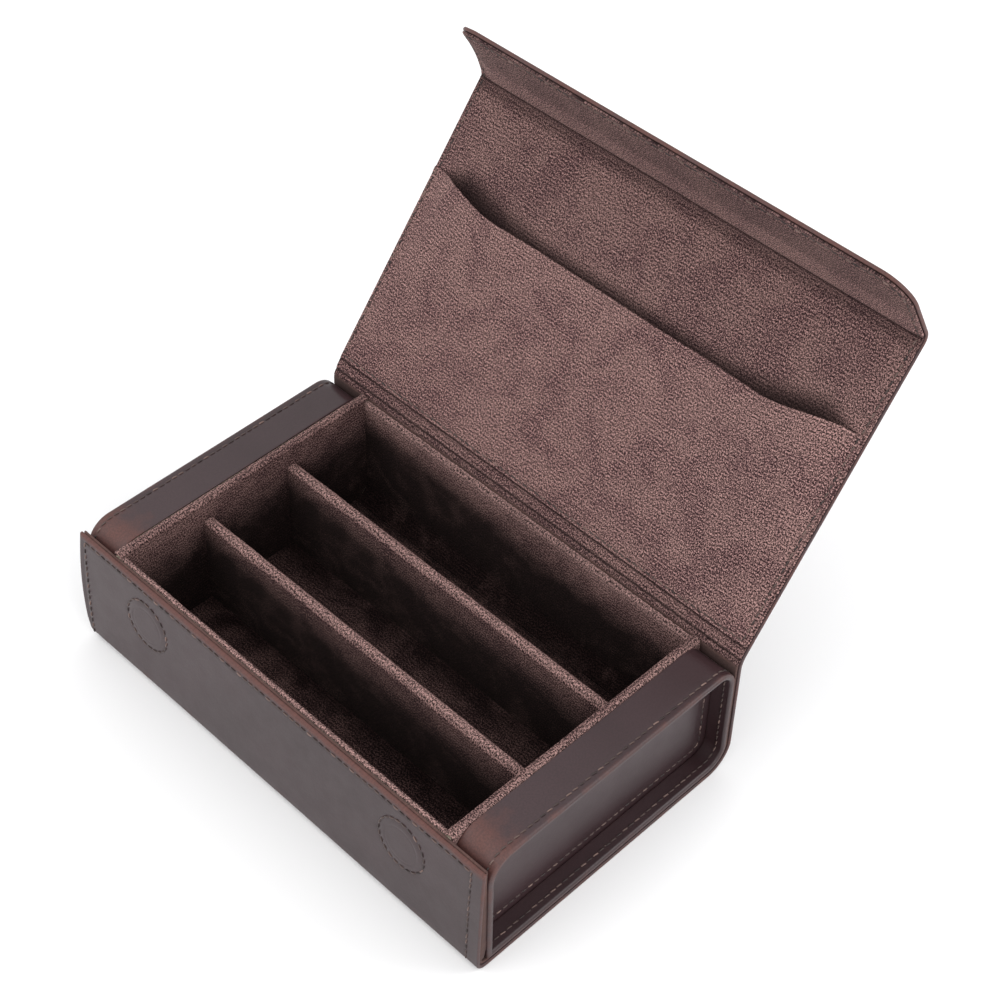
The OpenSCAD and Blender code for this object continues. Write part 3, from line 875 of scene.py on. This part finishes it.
def make_case():
    fine = np.arange(-CIRCLE - 1.5 * MM, CIRCLE + 1.6 * MM, 0.9 * MM)
    across = [side * MAGNET_X + k for side in (-1, 1) for k in fine]
    leather = case.build("case_leather", CASE_LOOK, extra_c=across, extra_v=MAGNET_V + fine,
                         wear_and_shade=case_wear)
    as_piece(leather, "leather", "wrap_leather", "hinge_leather", "lid_leather")
    across_hinge(leather)
    backing = lining.build("case_lining", LINING_LOOK, rim_wear=0.5)
    as_piece(backing, "lining", "wrap_lining")
    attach(backing, "base")
    hinge = np.arange(MARK["bend"] - 1 * MM, MARK["lid"] + 6 * MM, 0.25 * MM)
    mouth = np.arange(POCKET_V + 70 * MM, POCKET_V + 88 * MM, 0.5 * MM)
    inside = lid_lining.build("lid_suede_lining", SUEDE_LOOK, step=3 * MM, wear_and_shade=lid_shade,
                              extra_v=list(hinge) + list(mouth))
    as_piece(inside, "suede", "hinge_lining", "lid_suede")
    across_hinge(inside)


def make_lip():
    outside = lip_cover.build("lip_leather_cover", LEATHER_LOOK, step=3 * MM, rim_wear=0.6)
    as_piece(outside, "leather", "lip_fold_leather", "lip_leather")
    across_fold(outside)
    inside = lip_lining.build("lip_suede_lining", SUEDE_LOOK, step=3 * MM, wear_and_shade=lip_shade, rim_wear=0.2,
                              extra_v=FOLD_MID + np.arange(-2, 2.1, 0.25) * MM, texture_v=upright_pile)
    as_piece(inside, "suede", "lip_fold_suede", "lip_suede")
    across_fold(inside)


def make_lip_board():
    """The lip's board, bent with the lip's left end."""
    inset = 2.5 * MM
    board = Sheet(SPINE, MARK["lip"] + FOLD_MARGIN, MARK["tip"] - inset, 0, HALF_X - inset,
                  lambda c, v, d: LIP_BOARD_N + flare(c, v), LIP_BOARD, corner=LIP_CORNER - inset,
                  edge=0.2 * MM)
    piece = board.build("lip_stiffener", BOARD_LOOK, step=3 * MM, across_step=4 * MM)
    as_piece(piece, "board", "lip_board")
    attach(piece, "lip")


# ---------- pocket ----------

POCKET_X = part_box("pocket_panel")[1].x
POCKET_V = MARK["lid"] + POCKET_START
POCKET_N = 1.9 * MM + (SUEDE + POCKET) / 2      # where it lies on the lid's suede
MOUTH_DROP = 5.5 * MM               # the mouth is cut lower than its ends
MOUTH_LIFT = 5.6 * MM               # the mouth stands off the lid, most of all near its ends


def pocket_warp(c, v):
    drop = MOUTH_DROP * (1 - smooth((np.abs(c) - 60 * MM) / (35 * MM)))
    return POCKET_V + (v - POCKET_V) * (1 - drop / POCKET_LENGTH)


def mouth_lift(c):
    """How far the mouth stands off the lid."""
    held = smooth((POCKET_X - 1.5 * MM - np.abs(c)) / (15 * MM))
    return MOUTH_LIFT * held * (0.55 + 0.45 * hump(np.abs(c) - 74 * MM, 20 * MM))


def pocket_middle(c, v, d):
    """It lies on the lid's suede at its seams, and gapes and waves a little at the mouth."""
    share = np.clip((v - POCKET_V) / POCKET_LENGTH, 0, 1)
    waves = 0.5 * MM * np.sin(c / (13 * MM) + 0.6) + 0.3 * MM * np.sin(c / (6.1 * MM) - 1.0)
    held = smooth((POCKET_X - np.abs(c)) / (12 * MM))
    lift = mouth_lift(c) * share ** 2.6 + waves * held * share ** 3
    puff = 0.5 * MM * held * smooth(d / (9 * MM))
    drawn_in = 0.25 * MM * pinch(d) * (share < 0.97)
    return POCKET_N + puff + lift - drawn_in


def pocket_groove(c, v, d):
    """Along the three sewn sides."""
    sewn = np.minimum(POCKET_X - np.abs(c), v - POCKET_V)
    return hump(sewn - POCKET_SEAM, GROOVE)


pocket = Sheet(SPINE, POCKET_V, POCKET_V + POCKET_LENGTH, -POCKET_X, POCKET_X, pocket_middle, POCKET,
               edge=0.4 * MM, seams=(POCKET_SEAM,), warp=pocket_warp, groove=pocket_groove)


def lid_normal():
    """Direction the inside of the lid faces."""
    middle = np.array([0.0]), np.array([(POCKET_V + MARK["fold"]) / 2])
    away = lid_lining.up(*middle, 1)[0]
    return tuple(away / np.linalg.norm(away))


def make_pocket():
    panel = pocket.build("pocket_suede", SUEDE_LOOK, step=2.5 * MM)
    as_piece(panel, "suede", "pocket_panel")
    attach(panel, "lid")
    root = pocket.point(0.0, POCKET_V + POCKET_SEAM, -1)
    lid_normal()
    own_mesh(panel)


# ---------- suede of the tray ----------

MID = SUEDE / 2
LONG_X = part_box("front_suede")[1].x
BOARD_Y = -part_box("front_suede")[0].y
WALL_Y = -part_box("front_suede")[1].y
BEND_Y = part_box("floor_suede")[1].y
BEND_RADIUS = WALL_Y + MID - BEND_Y
UNDER_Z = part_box("floor_suede")[0].z


def long_wall(side):
    """Over the board's top edge, down the wall and, at the back, round onto the floor."""
    track = Track((side * (BOARD_Y - 0.1 * MM), TRAY_TOP - MID), 90 + side * 90)
    turn = 0.6 * MM
    track.ahead(BOARD_Y - 0.1 * MM - WALL_Y - MID - turn).turn(turn, side * 90)
    if side < 0:
        return track.ahead(TRAY_TOP - MID - turn - UNDER_Z)
    return track.ahead(TRAY_TOP - MID - turn - UNDER_Z - MID - BEND_RADIUS).turn(BEND_RADIUS, -90)


def end_wall():
    """Up the outside of the board, over its top edge and down the inner face."""
    turn = 0.9 * MM
    top = BAND_TOP - MID
    track = Track((CAP_X - MID, BAND_TOP - SUEDE_LAP + 0.2 * MM), 90)
    track.ahead(top - turn - track.end[1]).turn(turn, 90)
    track.ahead(CAP_X - TROUGH_X - SUEDE - 2 * turn).turn(turn, 90)
    over = track.length
    return track.ahead(top - turn - UNDER_Z - 0.1 * MM), over


def divider(y):
    """Up one face of a divider, over its round top and down the other."""
    radius = (DIVIDER_WIDTH - SUEDE) / 2
    rise = divider_high.z - DIVIDER_WIDTH / 2 - divider_low.z
    return Track((y - radius, divider_low.z), 90).ahead(rise).turn(radius, -180).ahead(rise)


def painted_light_by_depth(depth, x, most=0.55):
    """Painted light and shade on the tray's pile by its depth under the trough's crest: 1 on the crest,
    down to 0 in painted shade deep in a trough.

    The painted light reaches deeper towards the right end."""
    reach = (10 + 9 * smooth((x + 0.7 * LONG_X) / (0.9 * LONG_X))) * MM
    face = most * (1 - smooth((depth - 1 * MM) / reach))
    return face + (1 - most) * (1 - smooth((depth + 1 * MM) / (2 * MM)))


def tray_sheet(track, lo=-LONG_X, hi=LONG_X, relief=ruffle, place=in_yz):
    return Sheet(track, 0.0, track.length, lo, hi, 0.0, SUEDE, edge=0.3 * MM, relief=relief,
                 place=place)


def make_tray():
    for side, name in ((-1, "front_suede"), (1, "back_suede")):
        wall = tray_sheet(long_wall(side))
        tray_piece(wall, name, lambda c, v: painted_light_by_depth(v - 4 * MM, c, 0.75), 4 * MM)
    floor = Track((-WALL_Y, FLOOR_Z - MID), 0).ahead(WALL_Y + BEND_Y)
    tray_piece(tray_sheet(floor, relief=None), "floor_suede", floor_painted_light)
    for name, y in (("rear_divider_suede", DIVIDER_Y), ("front_divider_suede", -DIVIDER_Y)):
        track = divider(y)
        top = track.length / 2
        tray_piece(tray_sheet(track), name,
                   lambda c, v, top=top: painted_light_by_depth(np.abs(v - top) - 2 * MM, c), top)
    for side, name in ((-1, "left_suede"), (1, "right_suede")):
        make_end_wall(side, name)


def floor_painted_light(c, v):
    """Painted shade on the floor's pile, with a little painted light in the middle of each trough."""
    y = v - WALL_Y
    trough = (WALL_Y - DIVIDER_Y) / 2
    off = np.minimum(np.abs(y), np.abs(np.abs(y) - WALL_Y + trough))
    return 0.35 * (1 - smooth(off / (0.9 * trough)))


def make_end_wall(side, name):
    track, over = end_wall()
    corner = BEND_RADIUS + MID

    def front(v):
        return -np.where(v < over + 0.6 * MM, BAND_Y, BOARD_Y - LEATHER)

    def back(v):
        z = track.at(v)[1]
        below = np.clip(UNDER_Z + corner - z, 0, corner)
        low = BEND_Y + np.sqrt(np.maximum(corner ** 2 - below ** 2, 0))
        return np.where(v < over, BAND_Y, np.minimum(low, BOARD_Y - LEATHER))

    sheet = tray_sheet(track, front, back, place=in_xz(side))
    tray_piece(sheet, name, lambda c, v: painted_light_by_depth(0.7 * (v - 6 * MM), LONG_X, 0.7), 6 * MM)


def tray_piece(sheet, name, wear_and_shade, crest=None):
    """A piece of the tray's suede. Points are close together on its crest, where the pile shows."""
    points = {"step": 2 * MM}
    if crest:
        rows = np.arange(crest - 4 * MM, crest + 4 * MM, 0.35 * MM)
        points = {"extra_v": rows, "across_step": 0.6 * MM}
    piece = sheet.build(name + "_pile", TRAY_SHADED_LOOK, wear_and_shade=wear_and_shade, rim_wear=0.0, **points)
    as_piece(piece, "suede", name)
    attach(piece, "base")


# ---------- end bands and their recessed panels ----------

band_low, band_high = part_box("right_band_leather")
BAND_Y = band_high.y
BAND_LOW, BAND_HIGH = band_low.z, band_high.z
BAND_RADII = (1 * MM, 8.5 * MM, 8.5 * MM, 10 * MM)      # front low, back low, back high, front high
LEAST_RADII = (0.2 * MM, 4.4 * MM, 5 * MM, 6.5 * MM)
BAND_SKIN = 0.9 * MM
BAND_THICKNESS = 2.4 * MM
BAND_EDGE = 1.0 * MM                                    # rounding of the rim
CORNERS = ((-1, -1), (1, -1), (1, 1), (-1, 1))


def round_end(c, inset):
    """Y and Z round the band's outline, shrunk by an inset. Length c is measured on the outside."""
    y, z = 0.0 * (c + inset), 0.0 * (c + inset)
    ends = []
    for (sy, sz), outer, least in zip(CORNERS, BAND_RADII, LEAST_RADII):
        radius = np.maximum(outer - inset, least)
        cy = sy * (BAND_Y - inset - radius)
        cz = np.where(sz < 0, BAND_LOW + inset + radius, BAND_HIGH - inset - radius)
        ends.append((radius, cy, cz))
    at = 0.0
    for i, ((radius, cy, cz), outer) in enumerate(zip(ends, BAND_RADII)):
        first = math.radians(180 + 90 * i)
        last = first + math.pi / 2
        arc = outer * math.pi / 2
        inside = (c >= at) & (c < at + arc)
        angle = first + (c - at) / arc * math.pi / 2
        y = np.where(inside, cy + radius * np.cos(angle), y)
        z = np.where(inside, cz + radius * np.sin(angle), z)
        at += arc
        next_radius, next_y, next_z = ends[(i + 1) % 4]
        run = straight_run(i)
        inside = (c >= at) & (c <= at + run)
        share = (c - at) / run
        y0, z0 = cy + radius * math.cos(last), cz + radius * math.sin(last)
        y1, z1 = next_y + next_radius * math.cos(last), next_z + next_radius * math.sin(last)
        y = np.where(inside, y0 + (y1 - y0) * share, y)
        z = np.where(inside, z0 + (z1 - z0) * share, z)
        at += run
    return y, z


def straight_run(i):
    """Length of the straight after corner i."""
    whole = 2 * BAND_Y if i % 2 == 0 else BAND_HIGH - BAND_LOW
    return whole - BAND_RADII[i] - BAND_RADII[(i + 1) % 4]


def round_length():
    return sum(r * math.pi / 2 + straight_run(i) for i, r in enumerate(BAND_RADII))


def corner_steps():
    """Lengths round the outline that follow its corners."""
    out, at = [], 0.0
    for i, radius in enumerate(BAND_RADII):
        arc = radius * math.pi / 2
        out += list(at + np.linspace(0, arc, 13))
        at += arc + straight_run(i)
    return out


def in_band(side):
    """Across runs round the end, and the track lies in the plane of X and inset."""
    def place(c, a, b):
        y, z = round_end(c, b)
        return np.stack([side * a, y, z], -1)
    return place


def band_track():
    """Middle of the band's leather: out to the rim, round it and back in to the panel."""
    turn = BAND_EDGE - BAND_SKIN / 2
    flat = HALF_X - BAND_EDGE - CAP_X
    track = Track((CAP_X, BAND_SKIN / 2), 0).ahead(flat).turn(turn, 90)
    track.ahead(BAND_THICKNESS - 2 * BAND_EDGE).turn(turn, 90)
    inner = track.length
    return track.ahead(HALF_X - BAND_EDGE - PANEL_X), inner


BAND, BAND_INNER = band_track()
OUTER_V = HALF_X - BAND_SEAM - CAP_X
INNER_V = BAND_INNER + BAND_SEAM - BAND_EDGE


def band_groove(c, v, d):
    return hump(v - OUTER_V, GROOVE) + 0.7 * hump(v - INNER_V, 0.5 * MM)


def band_wear(c, v):
    """Rubbed along its rim and where it bends down to the front."""
    start = round_length() - straight_run(3) - BAND_RADII[3] * math.pi / 2
    front = 0.62 * hump(c - start - 5 * MM, 12 * MM) * (v < BAND_INNER)
    return np.maximum(0.35 * hump(v - BAND_INNER + 1.6 * MM, 1.3 * MM), front)


def panel_inset(y, z):
    """How far a point on the end panel lies inside the band's outline."""
    middle = (BAND_LOW + BAND_HIGH) / 2
    half = (BAND_HIGH - BAND_LOW) / 2
    low, back = z < middle, y >= 0
    radius = np.select([~back & low, back & low, back], BAND_RADII[:3], BAND_RADII[3])
    qy = np.abs(y) - (BAND_Y - radius)
    qz = np.abs(z - middle) - (half - radius)
    outside = np.hypot(np.maximum(qy, 0), np.maximum(qz, 0))
    return radius - (outside + np.minimum(np.maximum(qy, qz), 0))


PANEL_INSET = 1.6 * MM
PANEL_LINE = BAND_THICKNESS + PANEL_SEAM
PANEL = 1.5 * MM


def panel_side(sign):
    """Half width of the end panel at a height, at its front (-1) or back (1)."""
    low, high = BAND_RADII[::3] if sign < 0 else BAND_RADII[1:3]

    def corner_cut(into, outer):
        radius = outer - PANEL_INSET
        bent = radius - np.sqrt(np.maximum(radius ** 2 - into ** 2, 0))
        return np.where(into > 0, bent, 0)

    def at(v):
        z = BAND_LOW + PANEL_INSET + v
        below = np.clip(BAND_LOW + low - z, 0, None)
        above = np.clip(z - BAND_HIGH + high, 0, None)
        cut = corner_cut(below, max(low, PANEL_INSET)) + corner_cut(above, high)
        return sign * (BAND_Y - PANEL_INSET - cut)
    return at


def panel_groove(c, v, d):
    return 1.3 * hump(panel_inset(c, BAND_LOW + PANEL_INSET + v) - PANEL_LINE, GROOVE)


def panel_crown(c, v, d):
    inset = panel_inset(c, BAND_LOW + PANEL_INSET + v) - BAND_THICKNESS
    return -0.35 * MM * smooth(inset / (9 * MM))


def end_panel(side):
    track = Track((PANEL_X - PANEL / 2, BAND_LOW + PANEL_INSET), 90)
    track.ahead(BAND_HIGH - BAND_LOW - 2 * PANEL_INSET)
    return Sheet(track, 0.0, track.length, panel_side(-1), panel_side(1), panel_crown, PANEL,
                 place=in_xz(side), groove=panel_groove)


def make_ends():
    for side, name in ((-1, "left"), (1, "right")):
        band = Sheet(BAND, 0.0, BAND.length, 0.0, round_length(), 0.0, BAND_SKIN, place=in_band(side),
                     closed=True, groove=band_groove)
        cover = band.build(name + "_band", LEATHER_LOOK, step=3 * MM, extra_c=corner_steps(),
                           extra_v=OUTER_V + SEAM_ROWS, wear_and_shade=band_wear, rim_wear=0.2)
        as_piece(cover, "leather", name + "_band_leather")
        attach(cover, "base")
        panel = end_panel(side)
        face = panel.build(name + "_end_leather", LEATHER_LOOK, step=1.5 * MM)
        as_piece(face, "leather", name + "_end_panel")
        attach(face, "base")
        sew_end(band, panel, Seam(11 + side), name)


def sew_end(band, panel, seam, name):
    """A seam over the band's top, one all round inside its rim and one round the panel."""
    all_round = np.linspace(0, round_length(), 700)[:-1]
    seam.sew_on(band, [(c, OUTER_V) for c in np.linspace(*top_of_band(), 400)], -1)
    seam.sew_on(band, [(c, INNER_V) for c in all_round], -1, closed=True)
    y, z = round_end(all_round, PANEL_LINE)
    seam.sew_on(panel, zip(y, z - BAND_LOW - PANEL_INSET), -1, closed=True)
    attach(seam.build(name + "_end_thread"), "base")


def top_of_band():
    """Where the band's outer seam starts and ends: as far down as it can be seen."""
    c = np.linspace(0, round_length(), 2000)
    shown = c[round_end(c, 0.0)[1] > BAND_HIGH - 9 * MM]
    return shown[0], shown[-1]


# ---------- thread on the case, the lid and the lip ----------

def circle(c, v, radius):
    turn = np.linspace(0, 2 * math.pi, 73)[:-1]
    return [(c + radius * math.cos(t), v + radius * math.sin(t)) for t in turn]


def lip_line(sheet, inset):
    """Along a side, round the two corners and back along the other side."""
    half, radius = sheet.full - inset, sheet.corner - inset
    top = sheet.v1 - inset
    turn = np.linspace(0, math.pi / 2, 13)
    right = [(half - radius * (1 - math.cos(t)), top - radius * (1 - math.sin(t))) for t in turn]
    left = [(-c, v) for c, v in reversed(right)]
    return [(half, SPLIT)] + right + left + [(-half, SPLIT)]


def sew_base():
    base = Seam(1)
    left, right = END_SEAM[0] - HALF_X, HALF_X - END_SEAM[1]
    stop = MARK["bend"] - 1.0 * MM
    base.sew_on(case, [(left, stop), (left, FRONT_SEAM), (right, FRONT_SEAM), (right, stop)], -1)
    for side in (-1, 1):
        base.sew_on(case, circle(side * MAGNET_X, MAGNET_V, CIRCLE), -1, closed=True)
    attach(base.build("base_thread"), "base")


def sew_lid():
    lid = Seam(2)
    near = HALF_X - LID_SEAM
    start, low = MARK["lid"] + 4 * MM, POCKET_V + POCKET_SEAM
    mouth = POCKET_V + POCKET_LENGTH
    for x in (-near, near):
        lid.sew_on(case, [(x, start), (x, SPLIT)], -1)
        lid.sew_on(pocket, [(x, low), (x, mouth - 0.5 * MM)], 1)
        lid.sew_on(lid_lining, [(x, mouth), (x, SPLIT)], 1)
    lid.sew_on(pocket, [(-near, low), (near, low)], 1)
    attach(lid.build("lid_thread"), "lid")


def sew_lip():
    lip = Seam(3)
    lip.sew_on(lip_cover, lip_line(lip_cover, LID_SEAM), -1)
    lip.sew_on(lip_lining, lip_line(lip_lining, LID_SEAM - LINING_INSET), 1)
    across_fold(lip.build("lip_thread"))


# ---------- boards, blocks and magnets that stay as the model has them ----------

INNER_LOOKS = {"board": BOARD_LOOK, "block": BLOCK_LOOK, "magnet": MAGNET_LOOK}


def dress_inner_parts():
    for name, obj in frame["nodes"].items():
        looks = [look for word, look in INNER_LOOKS.items() if word in name]
        for slot in obj.material_slots if looks else ():
            slot.material = looks[0]


# ---------- floor, light and camera ----------

AIM = Vector((-3.6, 49.9, 60.0)) * MM
AZIMUTH, ELEVATION, ROLL = math.radians(44.14), math.radians(45.67), math.radians(1.31)
DISTANCE = 762.3 * MM
LENS, SENSOR = 78.86, 36.0
FLOOR_HALF = 6.0
SKY = 1.08
LIGHTS = (                          # name, place, side, power and aim
    ("key", (-0.6, -1.0, 1.5), 1.4, 9, AIM),
    ("right", (1.3, -0.6, 0.9), 1.2, 7, AIM),
    ("floor_right", (0.9, 1.0, 0.9), 0.8, 8, Vector((0.3, 0.2, 0))),
)


def make_floor():
    look = Look("pale_floor")
    place = look.node("ShaderNodeTexCoord").outputs["Object"]
    cloud = look.noise(place, 0.4, 2)
    colour = look.mix(cloud, (0.86, 0.86, 0.87), (0.90, 0.90, 0.90))
    material = look.finish(colour, 0.8, 0.2)
    mesh = bpy.data.meshes.new("floor")
    mesh.from_pydata([(x * FLOOR_HALF, y * FLOOR_HALF, 0) for x, y in CORNERS], [], [(0, 1, 2, 3)])
    mesh.materials.append(material)
    floor = bpy.data.objects.new("floor", mesh)
    bpy.context.scene.collection.objects.link(floor)


def make_light(name, place, size, power, aim):
    data = bpy.data.lights.new(name, "AREA")
    data.shape = "RECTANGLE"
    data.size = data.size_y = size
    data.energy = power
    light = bpy.data.objects.new(name, data)
    light.location = place
    light.rotation_euler = (aim - Vector(place)).to_track_quat("-Z", "Y").to_euler()
    bpy.context.scene.collection.objects.link(light)


def make_lights():
    for settings in LIGHTS:
        make_light(*settings)
    world = bpy.data.worlds.new("studio")
    world.use_nodes = True
    background = world.node_tree.nodes["Background"]
    background.inputs["Color"].default_value = (1, 1, 1, 1)
    background.inputs["Strength"].default_value = SKY
    bpy.context.scene.world = world
    bpy.context.scene.view_settings.view_transform = "Standard"


def make_camera():
    sin_a, cos_a = math.sin(AZIMUTH), math.cos(AZIMUTH)
    sin_e, cos_e = math.sin(ELEVATION), math.cos(ELEVATION)
    back = Vector((sin_a * cos_e, -cos_a * cos_e, sin_e))
    right = Vector((cos_a, sin_a, 0))
    up = back.cross(right)
    rolled = math.cos(ROLL) * right + math.sin(ROLL) * up
    upright = back.cross(rolled)
    data = bpy.data.cameras.new("camera")
    data.lens, data.sensor_width = LENS, SENSOR
    data.clip_start, data.clip_end = 0.01, 20
    camera = bpy.data.objects.new("camera", data)
    turned = Matrix((rolled, upright, back)).transposed().to_4x4()
    camera.matrix_world = Matrix.Translation(AIM + DISTANCE * back) @ turned
    bpy.context.scene.collection.objects.link(camera)
    bpy.context.scene.camera = camera


make_camera()
make_lights()
make_floor()
make_case()
make_lip()
make_lip_board()
make_pocket()
make_tray()
make_ends()
sew_base()
sew_lid()
sew_lip()
dress_inner_parts()
